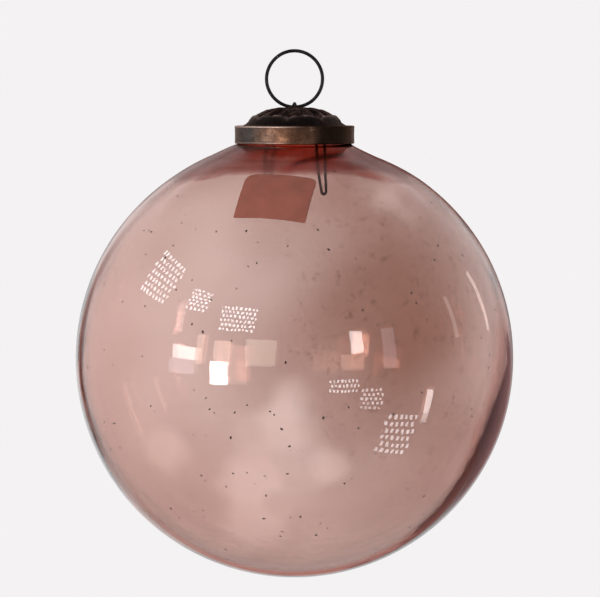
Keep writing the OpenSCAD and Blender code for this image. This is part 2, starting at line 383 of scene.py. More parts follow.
def neckColourAndPaintedLight(point):
    # how much of the neck's heavier colour, with its painted light and painted shade, a point of the glass
    # has
    tint = glass["neckTintAndPaintedLight"]
    out = (point - ballCentre).normalized()
    fromTop = math.degrees(out.angle(Vector((0, 0, 1))))
    waver = tint["waver"] * noise.noise(point / tint["waverSize"])
    waver += tint["rightRise"] * smooth(*tint["rightFade"], out.x)
    waver -= tint["sideDrop"] * smooth(*tint["sideFade"], abs(out.x))
    fromEdge = fromTop + waver - tint["edge"]
    edge = smooth(tint["edgeBlur"], -tint["edgeBlur"], fromEdge)
    line = math.exp(-((fromEdge + tint["lineInside"]) / tint["lineWidth"]) ** 2)

    mottle = Vector((out.x * tint["mottleRate"], out.y * tint["mottleRate"], fromTop / tint["mottleAngle"]))
    streak = Vector((tint["streakRate"] * math.atan2(out.x, -out.y), fromTop / tint["streakAngle"], 2))
    depth = smooth(*tint["deepFade"], fromTop)
    depth += tint["mottle"] * noise.noise(mottle) + tint["streak"] * noise.noise(streak)
    share = tint["plain"] + tint["deeper"] * depth + tint["line"] * line
    share = min(tint["most"], max(tint["least"], share)) * edge

    # painted light: redder in the middle of the front
    front = smooth(*tint["front"], out.y)
    red = smooth(*tint["redLeft"], point.x) * smooth(*tint["redRight"], point.x)
    share *= mix(tint["dull"], 1, mix(tint["behind"], red, front))
    # painted shade: a dark band across the front; the clear share is a painted highlight over it
    bend = math.exp(-(point.x - tint["shadeBandFrom"]) / tint["shadeBandBend"])
    shadeBand = tint["shadeBand"] + tint["shadeBandDrop"] * bend
    dark = front * math.exp(-((fromTop - shadeBand) / tint["shadeBandWidth"]) ** 2)
    dark *= smooth(*tint["shadeBandLeft"], point.x) * smooth(*tint["shadeBandRight"], point.x)
    clear = front * smooth(*tint["clearFade"], point.x) * smooth(*tint["clearAbove"], fromTop - shadeBand)
    return mix(share * mix(1, tint["clear"], clear), 1, dark)


def smokeColourAndPaintedShade(point):
    # how smoky a point of the glass is, with painted shade in the smoke
    tint = glass["smokeTintAndPaintedShade"]
    out = (point - ballCentre).normalized()
    across = (out.x - tint["middle"][0]) / tint["width"]
    up = (out.z - tint["middle"][1]) / tint["height"]
    # smoke with painted shade: darkest over the upper right of the front, with darker and lighter zones and
    # patches
    haze = tint["plain"] + tint["deepest"] * math.exp(-across ** 2 - up ** 2)
    haze -= tint["cloud"] * noise.noise(point / tint["cloudSize"] + Vector((0.4, 0.2, 0.7)))
    for darker, sideways, *upward in tint["zones"]:
        haze += darker * smooth(*sideways, out.x) * math.prod(smooth(*fade, out.z) for fade in upward)
    wisp = tint["wisp"] * noise.noise(point / tint["wispSize"])
    for x, z, size, clearer in tint["patches"]:
        haze -= clearer * smooth(*tint["patchFade"], math.hypot(out.x - x, out.z - z) / size + wisp)
    return min(1, max(0, haze)) * smooth(*tint["front"], out.y)


def makeGlassBall():
    neck, wall = glass["neckRadius"], glass["neckWall"]
    bore, lip = neck - wall, wall / 2
    hollow = ballRadius - glass["wall"]
    lipBase = lipZ - lip
    outside = bottleOutline(neck, ballRadius, glass["shoulder"], lipBase)
    inside = bottleOutline(bore, hollow, glass["throat"], lipBase)
    rim = arcPoints((neck - lip, lipBase), lip, 0, 180, glass["lipSteps"])
    outline = outside + rim + inside[::-1]
    outsideCount, rimEnd = len(outside), len(outside) + len(rim)

    def shoulderLift(point):
        across = math.hypot(point.x, point.y)
        share = (across - glass["liftFrom"]) / (glass["liftTo"] - glass["liftFrom"])
        if point.z < ballCentre.z or not 0 < share < 1:
            return 0
        return glass["sideLift"] * -point.x / across * math.sin(math.pi * math.sqrt(share))

    def outsideShape(point):
        across = math.hypot(point.x, point.y)
        fade = smooth(*glass["outsideCalm"], across - neck) if point.z > ballCentre.z else 1
        swell = noise.noise(point / glass["waveSize"])
        moved = point + (point - ballCentre).normalized() * glass["outsideWave"] * fade * swell
        moved.z += shoulderLift(point)
        return moved

    def insideShape(point):
        across = math.hypot(point.x, point.y)
        out = (point - ballCentre).normalized()
        fade = smooth(*glass["insideCalm"], across - bore) if point.z > ballCentre.z else 1
        swell = noise.noise(point / glass["waveSize"] + Vector((3.1, 1.7, 5.3)))
        swell += glass["ripple"] * noise.noise(point * glass["rippleRate"] / glass["waveSize"])
        turn = math.radians(glass["thickAt"])
        apart = math.degrees(out.angle(Vector((math.cos(turn), 0, math.sin(turn)))))
        fold = glass["thicker"] * math.exp(-(apart / glass["thickSpread"]) ** 2)
        moved = point - out * (fade * glass["insideWave"] * swell + fold)
        moved += fade * Vector(glass["hollowShift"])
        moved.z += shoulderLift(point)
        return moved

    def blownShape(point, index):
        if index < outsideCount:
            return outsideShape(point)
        return insideShape(point) if index >= rimEnd else point

    points, faces = lathe(outline, glass["turns"], blownShape, loop=False)
    piece = makePiece("glassBall", points, faces, pinkGlassFinish)
    addTrait(piece, "heavyAndPaintedLight", [neckColourAndPaintedLight(point) for point in points])
    addTrait(piece, "smokeAndPaintedShade", [smokeColourAndPaintedShade(point) for point in points])
    finishPiece(piece, "ball", "pink_glass", "glass_ball")


pinkGlassFinish = pinkGlass()
makeGlassBall()

# collar of the cap

collar = {
    "radius": 17.3 * mm, "sheet": 0.5 * mm, "ledge": 3 * mm, "waist": 0.04 * mm,
    "roll": 0.4 * mm, "footRoll": (170, 400, 18), "topRoll": (-40, 90, 12),  # degrees, and steps
    "wallInset": 1.9, "boreInset": 1.5,  # where the wall meets the rolls, in their radii
    "wallSteps": 10, "ledgeSteps": 6, "hemSteps": 8, "underSteps": 5, "cornerSteps": 5, "boreSteps": 8,
    "turns": 224, "dent": 0.05 * mm, "dentSize": 5 * mm, "smallDents": 0.5, "smallRate": 2.7,
    "acrossWaver": 2.5 * mm, "acrossWaverSize": 4 * mm,
    # painted reflection and painted shade: the plating is grey on the left, copper in the middle and black
    # on the right
    "greyPaintedReflection": (-4 * mm, -15 * mm), "rightPaintedShade": (-1 * mm, 9 * mm),
    # the rolled edges are rubbed bare and carry a painted highlight, most on the left and less at the foot
    "rubbedAndLit": 0.8, "rubbedAndLitFoot": 0.5, "rubbedAndLitFade": (5 * mm, -6 * mm),
    "topFade": (1.6, 0.5), "footFade": (1.6, 0.6),  # in from each edge, in the rolls' radii
}


def agedCopper():
    finish = Finish("agedCopper")
    patches = finish.cloud(3.5 * mm, 5, 0.62)
    fine = finish.cloud(0.35 * mm, 4, 0.6)
    copper = finish.ramp(patches, (0.30, (0.075, 0.040, 0.027)), (0.52, (0.15, 0.080, 0.052)),
                         (0.72, (0.29, 0.165, 0.110)))
    paintedGrey = finish.ramp(patches, (0.30, (0.048, 0.042, 0.040)), (0.70, (0.105, 0.092, 0.086)))
    # painted reflection, grey on the left, and painted shade, black on the right
    tone = finish.blend("MIX", finish.trait("greyPaintedReflection"), copper, paintedGrey)
    tone = finish.blend("MIX", finish.trait("rightPaintedShade"), tone, (0.012, 0.007, 0.005))
    # rubbed edges with a painted highlight, pale copper
    tone = finish.blend("MIX", finish.trait("bare"), tone, (0.62, 0.47, 0.40))
    tone = finish.blend("MULTIPLY", 0.75, tone, finish.ramp(fine, (0.36, 0.35), (0.62, 1.15)))
    finish.colour(tone)
    finish.roughness(finish.ramp(patches, (0.3, 0.46), (0.7, 0.26)))
    finish.setShader(Metallic=1.0, Specular_Tint=(0.80, 0.68, 0.62, 1))
    finish.bump(fine, 0.35, 0.06 * mm)
    finish.bump(patches, 0.3, 0.12 * mm)
    return finish.material


def makeCollar():
    radius, sheet, roll = collar["radius"], collar["sheet"], collar["roll"]
    rollR = collarRadius - roll
    low, high = collarLow.z, collarHigh.z
    inner, hem = radius - sheet, sheet / 2
    inset = collar["wallInset"] * roll
    outline = arcPoints((rollR, low + roll), roll, *collar["footRoll"])
    for i in range(collar["wallSteps"] + 1):
        share = i / collar["wallSteps"]
        waist = collar["waist"] * math.sin(math.pi * share)
        outline.append((radius - waist, mix(low + inset, high - inset, share)))
    outline += arcPoints((rollR, high - roll), roll, *collar["topRoll"])
    edge = radius - collar["ledge"] + hem
    outline += linePoints((rollR, high), (edge, high), collar["ledgeSteps"])
    outline += arcPoints((edge, high - hem), hem, 90, 270, collar["hemSteps"])
    outline += linePoints((edge, high - sheet), (inner, high - sheet), collar["underSteps"])
    outline += arcPoints((inner - hem, high - sheet - hem), hem, 90, 0, collar["cornerSteps"])
    boreLow = low + collar["boreInset"] * roll
    outline += linePoints((inner, high - 2 * sheet), (inner, boreLow), collar["boreSteps"])

    def dented(point, index):
        place = point / collar["dentSize"]
        push = noise.noise(place) + collar["smallDents"] * noise.noise(place * collar["smallRate"])
        flat = Vector((point.x, point.y, 0)).normalized()
        return point - flat * collar["dent"] * max(0, push)

    # sideways place with a waver, for the painted sides and the bright edges
    def wavyAcross(point):
        return point.x + collar["acrossWaver"] * noise.noise(point / collar["acrossWaverSize"])

    def rubbedAndLit(point):
        onTop = smooth(*collar["topFade"], (high - point.z) / roll)
        onFoot = collar["rubbedAndLitFoot"] * smooth(*collar["footFade"], (point.z - low) / roll)
        return collar["rubbedAndLit"] * max(onTop, onFoot) * smooth(*collar["rubbedAndLitFade"], wavyAcross(point))

    points, faces = lathe(outline, collar["turns"], dented, loop=True)
    piece = makePiece("capCollar", points, faces, agedCopper())
    for name in ("greyPaintedReflection", "rightPaintedShade"):
        addTrait(piece, name, [smooth(*collar[name], wavyAcross(point)) for point in points])
    addTrait(piece, "bare", [rubbedAndLit(point) for point in points])
    finishPiece(piece, "cap", "aged_copper", "cap_collar")


makeCollar()

# crown of the cap

crown = {
    "leaves": 8, "firstLeaf": -11.0, "swirl": 16.0,  # degrees
    "tip": 0.89, "notch": 0.80, "rosette": 0.40,  # shares of the crown's radius
    "height": 5.6 * mm, "skirt": 2.1 * mm, "dish": 1.05 * mm, "dishRadius": 5.2 * mm,
    "domePower": 2.2, "skirtPower": 0.85,  # how full the dome and its skirt are
    "emboss": 0.50 * mm, "sheet": 0.5 * mm, "hole": 1.71 * mm,
    "scallop": 0.16,  # how far the rosette's lobes are cut
    "folds": 2, "foldStart": 0.25, "foldStray": 0.30, "straySize": 2.4 * mm, "slit": 0.10,
    # heights of the embossing, as shares of its depth
    "leafBase": -0.30, "leafRidge": 0.75, "leafSlit": 0.55, "leafStray": 0.35,
    "petalBase": 0.08, "petalSlit": 0.5, "petalStray": 0.3, "lobe": -0.55, "beadRise": 0.62,
    "ridgePower": 1.3, "bowPower": 0.7, "lobePower": 0.8,
    # the bead round the leaves, with its own place and blurs as shares of its width
    "bead": 0.9 * mm, "beadInside": 0.35, "beadBlur": 0.55, "rosetteBlur": 0.5, "leafBlur": 0.4,
    "hammer": 0.10 * mm, "hammerSize": 1.6 * mm, "pits": 0.6, "pitSize": 0.7 * mm,
    "calm": 0.3, "calmFade": (3 * mm, 6 * mm),  # flatter where the ring passes
    "edgeFade": 0.8 * mm, "stepsPerLeaf": 44, "rows": 96, "liningRows": 14,
    "footInset": 1.6, "liningGap": 0.9,  # in thicknesses of the sheet and depths of the embossing
    # painted shade: the lining under the crown takes the darkest tone
    "beatenTone": 0.12, "liningTone": 0.2,  # how bright the hammer marks and the lining are
}


def darkBronze():
    finish = Finish("darkBronze")
    ridge = finish.trait("ridge")
    patches = finish.cloud(2.6 * mm, 5, 0.65)
    fine = finish.cloud(0.28 * mm, 4, 0.6)
    # colour by relief height: dark in the hollows, and on the ridge tops and the bead worn metal with a
    # painted highlight
    tone = finish.ramp(ridge, (0.25, (0.004, 0.003, 0.003)), (0.60, (0.014, 0.010, 0.009)),
                       (0.78, (0.090, 0.070, 0.063)), (0.96, (0.400, 0.325, 0.300)))
    tone = finish.blend("MIX", finish.ramp(patches, (0.52, 0.0), (0.75, 0.4)), tone, (0.050, 0.026, 0.022))
    tone = finish.blend("MULTIPLY", 0.5, tone, finish.ramp(fine, (0.35, 0.5), (0.65, 1.0)))
    finish.colour(tone)
    finish.roughness(finish.ramp(ridge, (0.3, 0.50), (0.85, 0.20)))
    finish.setShader(Metallic=0.85, Specular_Tint=(0.72, 0.62, 0.58, 1))
    finish.bump(fine, 0.3, 0.06 * mm)
    return finish.material


def crownDome(r):
    rim = crownRadius * (crown["tip"] + crown["notch"]) / 2
    if r > rim:
        return crown["skirt"] * (1 - ((r - rim) / (crownRadius - rim)) ** crown["skirtPower"])
    dish = crown["dish"] * math.cos(math.pi / 2 * min(1, r / crown["dishRadius"])) ** 2
    return crown["height"] - (crown["height"] - crown["skirt"]) * (r / rim) ** crown["domePower"] - dish


def leafArch(pitch):
    return math.sqrt(max(0, 1 - (2 * pitch - 1) ** 2))


def crownRelief(r, pitch, spot):
    # height of the embossing, as a share of its depth
    rosetteEdge = crownRadius * crown["rosette"] * (1 - crown["scallop"] * leafArch((pitch + 0.5) % 1))
    leafEdge = crownRadius * mix(crown["tip"], crown["notch"], leafArch(pitch))
    stray = noise.noise(spot / crown["straySize"])
    fold = (crown["folds"] * pitch + crown["foldStray"] * stray + crown["foldStart"]) % 1
    ridge = 1 - abs(2 * fold - 1) ** crown["ridgePower"]
    slit = math.exp(-(min(fold, 1 - fold) / crown["slit"]) ** 2)
    along = min(1, max(0, (r - rosetteEdge) / (leafEdge - rosetteEdge)))
    bow = math.sin(math.pi * along) ** crown["bowPower"]
    leaf = crown["leafBase"] + crown["leafRidge"] * ridge - crown["leafSlit"] * slit
    leaf += crown["leafStray"] * stray
    petal = crown["petalBase"] - crown["petalSlit"] * slit * min(1, r / rosetteEdge)
    petal += crown["petalStray"] * stray
    beyond = min(1, max(0, (r - leafEdge) / (crownRadius - leafEdge)))
    lobe = crown["lobe"] * math.sin(math.pi * beyond) ** crown["lobePower"]

    pastRosette, pastLeaf = (r - rosetteEdge) / crown["bead"], (r - leafEdge) / crown["bead"]
    onRosette = smooth(crown["rosetteBlur"], -crown["rosetteBlur"], pastRosette)
    onLeaf = smooth(crown["leafBlur"], 0, pastLeaf)
    fromBead = (pastLeaf + crown["beadInside"]) / crown["beadBlur"]
    bead = crown["beadRise"] * math.exp(-fromBead ** 2)
    inner = onRosette * petal + (1 - onRosette) * bow * leaf
    return onLeaf * inner + (1 - onLeaf) * lobe + bead


def makeCrown():
    steps = crown["leaves"] * crown["stepsPerLeaf"]
    rows, liningRows, hole = crown["rows"], crown["liningRows"], crown["hole"]
    edgeFade = crown["edgeFade"]
    foot = crownRadius - crown["footInset"] * crown["sheet"]
    drop = 1 - (crown["sheet"] + crown["liningGap"] * crown["emboss"]) / crown["height"]
    points, ridges = [], []
    for i in range(steps):
        pitch = (i / crown["stepsPerLeaf"]) % 1
        side = i * 360 / steps + crown["firstLeaf"] - 90
        for j in range(rows + 1):
            r = mix(hole, crownRadius, j / rows)
            fade = smooth(0, edgeFade, crownRadius - r) * smooth(0, edgeFade, r - hole)
            turn = math.radians(side + crown["swirl"] * (1 - r / crownRadius))
            spot = Vector((r * math.cos(turn), r * math.sin(turn), 0))
            relief = crownRelief(r, pitch, spot)
            beaten = noise.noise(spot / crown["hammerSize"])
            beaten += crown["pits"] * noise.noise(spot / crown["pitSize"])
            calm = mix(crown["calm"], 1, smooth(*crown["calmFade"], r))
            rise = fade * (crown["emboss"] * relief + crown["hammer"] * calm * beaten)
            spot.z = ledgeZ + max(0, crownDome(r) + rise)
            points.append(spot)
            ridges.append((1 + relief) / 2 + crown["beatenTone"] * beaten)
        for j in range(liningRows + 1):
            r = mix(hole, foot, 1 - j / liningRows)
            turn = math.radians(side)
            z = ledgeZ + drop * crownDome(r * crownRadius / foot)
            points.append(Vector((r * math.cos(turn), r * math.sin(turn), z)))
            ridges.append(crown["liningTone"])
    count = rows + liningRows + 2
    faces = []
    for i in range(steps):
        here, there = i * count, (i + 1) % steps * count
        for j in range(count):
            k = (j + 1) % count
            faces.append((here + j, here + k, there + k, there + j))
    piece = makePiece("capCrown", points, faces, darkBronze())
    addTrait(piece, "ridge", ridges)
    finishPiece(piece, "cap", "dark_bronze", "cap_crown")


makeCrown()

# wire: hanging ring and spring clip

wireSides = 20
ring = {
    "joint": 0.03 * mm, "jointAt": 128.0, "steps": 180, "bent": 0.05 * mm, "bends": 2,
    "dark": (0.008, 0.008, 0.008), "light": (0.030, 0.029, 0.028), "metal": 0.9,
}
clip = {
    "wire": 0.8 * mm, "loopPlay": 0.16 * mm, "loopTurn": 18.0, "bend": 1.5 * mm,
    "legTurn": 59.0, "legLean": 7.0, "legRadius": 13.3 * mm,
    "rootWidth": 2.7 * mm, "tipWidth": 1.7 * mm, "bow": 0.22 * mm,
    "loopSteps": 18, "bendSteps": 10, "legSteps": 12, "tipSteps": 14,
    "dark": (0.012, 0.006, 0.005), "light": (0.030, 0.017, 0.014), "metal": 0.1,
}


def blackenedWire(name, wire):
    finish = Finish(name)
    patches = finish.cloud(1.6 * mm, 5, 0.65)
    fine = finish.cloud(0.2 * mm, 4, 0.6)
    finish.colour(finish.ramp(patches, (0.35, wire["dark"]), (0.7, wire["light"])))
    finish.roughness(finish.ramp(fine, (0.3, 0.55), (0.7, 0.34)))
    finish.setShader(Metallic=wire["metal"], Specular_IOR_Level=0.15)
    finish.bump(fine, 0.3, 0.03 * mm)
    return finish.material


def wireTree():
    # round wire along a line of edges
    inputs = ("Wire Radius", "Float"), ("Sides", "Int"), ("Finish", "Material")
    tree, start, end = newTree("roundWire", *inputs)
    add, join = tree.nodes.new, tree.links.new
    path = add("GeometryNodeMeshToCurve")
    section = add("GeometryNodeCurvePrimitiveCircle")
    sweep = add("GeometryNodeCurveToMesh")
    shade = add("GeometryNodeSetShadeSmooth")
    realize = add("GeometryNodeRealizeInstances")
    paint = add("GeometryNodeSetMaterial")
    sweep.inputs["Fill Caps"].default_value = True
    chain(tree, start, path, sweep, shade, realize, paint, end)
    join(start.outputs["Wire Radius"], section.inputs["Radius"])
    join(start.outputs["Sides"], section.inputs["Resolution"])
    join(section.outputs["Curve"], sweep.inputs["Profile Curve"])
    join(start.outputs["Finish"], paint.inputs["Material"])
    return tree


def wirePiece(name, route, diameter, finish):
    base = bpy.data.meshes.new(name + "Route")
    base.from_pydata(route, [(i, i + 1) for i in range(len(route) - 1)], [])
    settings = {"Wire Radius": diameter / 2, "Sides": wireSides, "Finish": finish}
    return bakeNodes(name, base, roundWire, settings)


def ringRoute():
    radius = (ringHigh.x - ringLow.x - ringWire) / 2
    centreZ = (ringLow.z + ringHigh.z) / 2
    gap = ring["joint"] / radius
    begin = math.radians(ring["jointAt"]) + gap / 2
    route = []
    for i in range(ring["steps"] + 1):
        angle = begin + (2 * math.pi - gap) * i / ring["steps"]
        across, up = math.cos(angle), math.sin(angle)
        stray = noise.noise(Vector((ring["bends"] * across, ring["bends"] * up, 7)))
        out = radius - ring["bent"] * (0.5 + 0.5 * stray)
        route.append(Vector((out * across, 0, centreZ + out * up)))
    return route


def turned(point, degrees):
    c, s = math.cos(math.radians(degrees)), math.sin(math.radians(degrees))
    return Vector((point[0] * c - point[1] * s, point[0] * s + point[1] * c, point[2]))


def bendPoints(a, b, c, radius, steps):
    back, on = (a - b).normalized(), (c - b).normalized()
    half = back.angle(on) / 2
    centre = b + (back + on).normalized() * radius / math.sin(half)
    start = b + back * radius / math.tan(half) - centre
    turns = [(math.pi - 2 * half) * i / steps for i in range(steps + 1)]
    return [centre + start * math.cos(t) - back * radius * math.sin(t) for t in turns]


def clipRoute():
    swing = Vector((0, 0, ringLow.z + ringWire / 2))
    loop = ringWire / 2 + clip["loopPlay"] + clip["wire"] / 2
    root = -clip["legTurn"]
    tip = root + clip["legLean"]

    def loopPoint(angle):
        return swing + turned((0, -loop * math.cos(angle), loop * math.sin(angle)), clip["loopTurn"])

    def legPoint(degrees, side, z):
        return turned((clip["legRadius"], -side, z), degrees)

    bend, bendSteps = clip["bend"], clip["bendSteps"]
    sheet, tipHalf = collar["sheet"], clip["tipWidth"] / 2
    tipZ = clipFoot + tipHalf + clip["wire"] / 2
    under = turned((0, -loop, ledgeZ + crownDome(0) - sheet - bend), clip["loopTurn"])
    shoulder = legPoint(root, clip["rootWidth"] / 2, ledgeZ - sheet - clip["wire"])
    end = legPoint(root, -clip["rootWidth"] / 2, lipZ - glass["neckWall"])

    def legLine(side, startZ):
        # one wire of the hairpin, from its root to its tip
        line = []
        for i in range(1, clip["legSteps"]):
            share = i / clip["legSteps"]
            width = mix(clip["rootWidth"], clip["tipWidth"], share) / 2
            width += clip["bow"] * math.sin(math.pi * share)
            line.append(legPoint(mix(root, tip, share), side * width, mix(startZ, tipZ, share)))
        return line

    half = bendPoints(loopPoint(0), under, shoulder, bend, bendSteps)
    half += bendPoints(under, shoulder, legPoint(tip, tipHalf, tipZ), bend, bendSteps)
    half += legLine(1, half[-1].z)
    for i in range(clip["tipSteps"] + 1):
        angle = math.pi * i / clip["tipSteps"]
        half.append(legPoint(tip, tipHalf * math.cos(angle), tipZ - tipHalf * math.sin(angle)))
    half += legLine(-1, end.z)[::-1] + [end]
    arch = [loopPoint(math.pi * i / clip["loopSteps"]) for i in range(clip["loopSteps"] + 1)]
    return half[::-1] + arch + [turned(point, 180) for point in half]


roundWire = wireTree()
ringPiece = wirePiece("hangingRing", ringRoute(), ringWire, blackenedWire("ringWire", ring))
finishPiece(ringPiece, "ring", "ring_wire", "hanging_ring")
clipPiece = wirePiece("springClip", clipRoute(), clip["wire"], blackenedWire("springWire", clip))
finishPiece(clipPiece, "cap", "spring_wire", "spring_clip")

# label

label = {
    "width": 20 * mm, "height": 18 * mm, "paper": 0.15 * mm, "glue": 0.05 * mm,
    "turn": -7.5, "rise": 50.6, "tilt": 5.5,  # degrees
    "cells": 44, "lift": 0.12 * mm, "liftFade": (0.75, 1), "ragged": 0.22 * mm, "rags": 6,
    "corners": (3.0 * mm, 2.4 * mm, 0.4 * mm),  # rounding of the upper left, upper right and lower ones
}


def labelPaper():
    finish = Finish("labelPaper")
    fibre = finish.cloud(0.22 * mm, 6, 0.7)
    stain = finish.cloud(5 * mm, 3, 0.55)
    tone = finish.ramp(stain, (0.3, (0.232, 0.068, 0.046)), (0.7, (0.296, 0.085, 0.057)))
    tone = finish.blend("MULTIPLY", 0.35, tone, finish.ramp(fibre, (0.3, 0.62), (0.7, 1.0)))
    finish.colour(tone)
    finish.setShader(Roughness=0.82)
    finish.bump(fibre, 0.35, 0.04 * mm)
    return finish.material


def makeLabel():
    turn, rise, tilt = (math.radians(label[key]) for key in ("turn", "rise", "tilt"))
    out = Vector((math.cos(rise) * math.sin(turn), -math.cos(rise) * math.cos(turn), math.sin(rise)))
    right = Vector((math.cos(turn), math.sin(turn), 0))
    up = out.cross(right)
    cells, rags = label["cells"], label["rags"]
    halfWidth, halfHeight = label["width"] / 2, label["height"] / 2
    upperLeft, upperRight, lower = label["corners"]
    points = []
    for side in (0, 1):
        for j in range(cells + 1):
            for i in range(cells + 1):
                u, v = 2 * i / cells - 1, 2 * j / cells - 1
                rag = label["ragged"] * min(0, noise.noise(Vector((rags * u, rags * v, 4))))
                x = u * (halfWidth + rag * (i in (0, cells)))
                y = v * (halfHeight + rag * (j in (0, cells)))
                size = lower if v < 0 else upperLeft if u < 0 else upperRight
                dx, dy = abs(x) - halfWidth + size, abs(y) - halfHeight + size
                if dx > 0 and dy > 0:
                    pull = 1 - max(dx, dy) / math.hypot(dx, dy)
                    x -= math.copysign(dx * pull, x)
                    y -= math.copysign(dy * pull, y)
                a = x * math.cos(tilt) + y * math.sin(tilt)
                b = y * math.cos(tilt) - x * math.sin(tilt)
                corner = smooth(*label["liftFade"], abs(u)) * smooth(*label["liftFade"], abs(v))
                radius = ballRadius + label["glue"] + label["lift"] * corner + side * label["paper"]
                depth = math.sqrt(radius ** 2 - a * a - b * b)
                points.append(ballCentre + out * depth + right * a + up * b)
    row = cells + 1
    layer = row * row
    faces = []
    for j in range(cells):
        for i in range(cells):
            k = j * row + i
            faces.append((k, k + row, k + row + 1, k + 1))
            faces.append((layer + k, layer + k + 1, layer + k + row + 1, layer + k + row))
    border = list(range(cells)) + [row * j + cells for j in range(cells)]
    border += [layer - 1 - i for i in range(cells)] + [row * (cells - j) for j in range(cells)]
    for here, there in zip(border, border[1:] + border[:1]):
        faces.append((here, there, layer + there, layer + here))
    piece = makePiece("paperLabel", points, faces, labelPaper())
    finishPiece(piece, "ball", "label_paper", "paper_label")


makeLabel()

# seeds and specks in the glass

seeds = {
    "count": 260, "size": 0.22 * mm, "least": 0.35, "most": 1.45, "wide": 1.5, "flat": 0.55,
    "seed": 11, "steps": 48, "turns": 72, "upTo": 66,  # degrees, short of the neck
}


def seedGlass():
    finish = Finish("seedGlass")
    patches = finish.cloud(20 * mm, 2, 0.5)
    finish.colour(finish.ramp(patches, (0.3, (0.030, 0.007, 0.006)), (0.7, (0.065, 0.018, 0.014))))
    finish.setShader(Roughness=0.25)
    return finish.material


def seedTree():
    # small flattened specks scattered over a surface
    sizes = [(name, "Float") for name in ("Density", "Size", "Least", "Most", "Wide", "Flat")]
    tree, start, end = newTree("glassSeeds", *sizes, ("Seed", "Int"), ("Finish", "Material"))
    add, join = tree.nodes.new, tree.links.new
    scatter = add("GeometryNodeDistributePointsOnFaces")
    bead = add("GeometryNodeMeshIcoSphere")
    bead.inputs["Subdivisions"].default_value = 2
    stretch = add("FunctionNodeRandomValue")
    spin = add("FunctionNodeRandomValue")
    spin.inputs["Max"].default_value = 2 * math.pi
    shape = add("ShaderNodeCombineXYZ")
    for name, axis in (("Wide", "X"), ("Flat", "Z")):
        times = add("ShaderNodeMath")
        times.operation = "MULTIPLY"
        join(stretch.outputs["Value"], times.inputs[0])
        join(start.outputs[name], times.inputs[1])
        join(times.outputs["Value"], shape.inputs[axis])
    turn = add("FunctionNodeRotateEuler")
    turn.rotation_type = "AXIS_ANGLE"
    turn.space = "LOCAL"
    place = add("GeometryNodeInstanceOnPoints")
    shade = add("GeometryNodeSetShadeSmooth")
    realize = add("GeometryNodeRealizeInstances")
    paint = add("GeometryNodeSetMaterial")
    chain(tree, start, scatter, place, realize, shade, paint, end)
    join(start.outputs["Density"], scatter.inputs["Density"])
    join(start.outputs["Seed"], scatter.inputs["Seed"])
    join(start.outputs["Size"], bead.inputs["Radius"])
    join(start.outputs["Least"], stretch.inputs["Min"])
    join(start.outputs["Most"], stretch.inputs["Max"])
    join(start.outputs["Seed"], stretch.inputs["Seed"])
    join(stretch.outputs["Value"], shape.inputs["Y"])
    join(bead.outputs["Mesh"], place.inputs["Instance"])
    join(scatter.outputs["Rotation"], turn.inputs["Rotation"])
    join(spin.outputs["Value"], turn.inputs["Angle"])
    join(turn.outputs["Rotation"], place.inputs["Rotation"])
    join(shape.outputs["Vector"], place.inputs["Scale"])
    join(start.outputs["Finish"], paint.inputs["Material"])
    return tree


def makeSeeds():
    middle = ballRadius - glass["wall"] / 2
    outline = [(0.0, ballCentre.z - middle)]
    outline += arcPoints((0, ballCentre.z), middle, -90, seeds["upTo"], seeds["steps"])[1:]
    points, faces = lathe(outline, seeds["turns"], lambda point, index: point, loop=False)
    base = bpy.data.meshes.new("seedShell")
    base.from_pydata(points, [], faces)
    density = seeds["count"] / (4 * math.pi * middle ** 2)
    piece = bakeNodes("glassSeeds", base, seedTree(), {
        "Density": density, "Size": seeds["size"], "Least": seeds["least"], "Most": seeds["most"],
        "Wide": seeds["wide"], "Flat": seeds["flat"], "Seed": seeds["seed"], "Finish": seedGlass(),
    })
    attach(piece, "ball")
    print("piece made:", piece.name, len(piece.data.polygons), "faces")


makeSeeds()

# floor, backdrop and light

studio = {
    "backdrop": (0.905, 0.888, 0.893), "ambient": (1.0, 0.985, 0.975), "ambientLevel": 0.55,
    "floorDrop": 0.25, "floorRadius": 1.1, "floorSteps": 96, "floorFull": 0.6,
    "floorColour": (0.86, 0.85, 0.845), "floorGrain": 0.985, "grainSize": 20 * mm,
    "cardSteps": 64, "cardFull": 0.8,
    "slotWidth": 0.52, "slotHeight": 0.60,  # shares of a grid's pitch
}
cardColours = {"dark": (0.20, 0.075, 0.065), "rose": (0.54, 0.27, 0.27), "red": (0.82, 0.30, 0.26)}
cards = {
    # middle from the ball's centre, half of the width, half of the height, how dense its middle is,
    # its colour and whether it also shows through the glass
    "ceilingCard": ((0, 0.60, 0.66), (0.75, 0, 0), (0, 0.45, 0), 1.0, "dark", True),
    "topCard": ((0, 0.80, 0.44), (0.62, 0, 0), (0, 0, 0.26), 0.85, "dark", True),
    "rightCard": ((0.44, 0.48, -0.19), (0.28, -0.15, 0), (0, 0, 0.30), 2.0, "rose", False),
    "leftCard": ((-0.49, 0.80, -0.12), (0.12, 0.05, 0), (0, 0, 0.50), 1.0, "dark", True),
    "lowCard": ((0.24, 0.38, -0.30), (0.66, 0, 0), (0, 0.16, 0), 1.3, "red", False),
    "frontCard": ((0, -2.20, 0.40), (2.60, 0, 0), (0, 0, 1.80), 1.0, "dark", False),
    "overCard": ((0, 0.10, 1.20), (1.20, 0, 0), (0, 0.90, 0), 0.9, "dark", False),
    "backCard": ((0.12, 1.40, 0.12), (0.62, 0, 0), (0, 0, 0.62), 1.3, "dark", False),
}
white, cool, warm = (1.0, 1.0, 1.0), (0.95, 0.97, 1.0), (1.0, 0.94, 0.90)
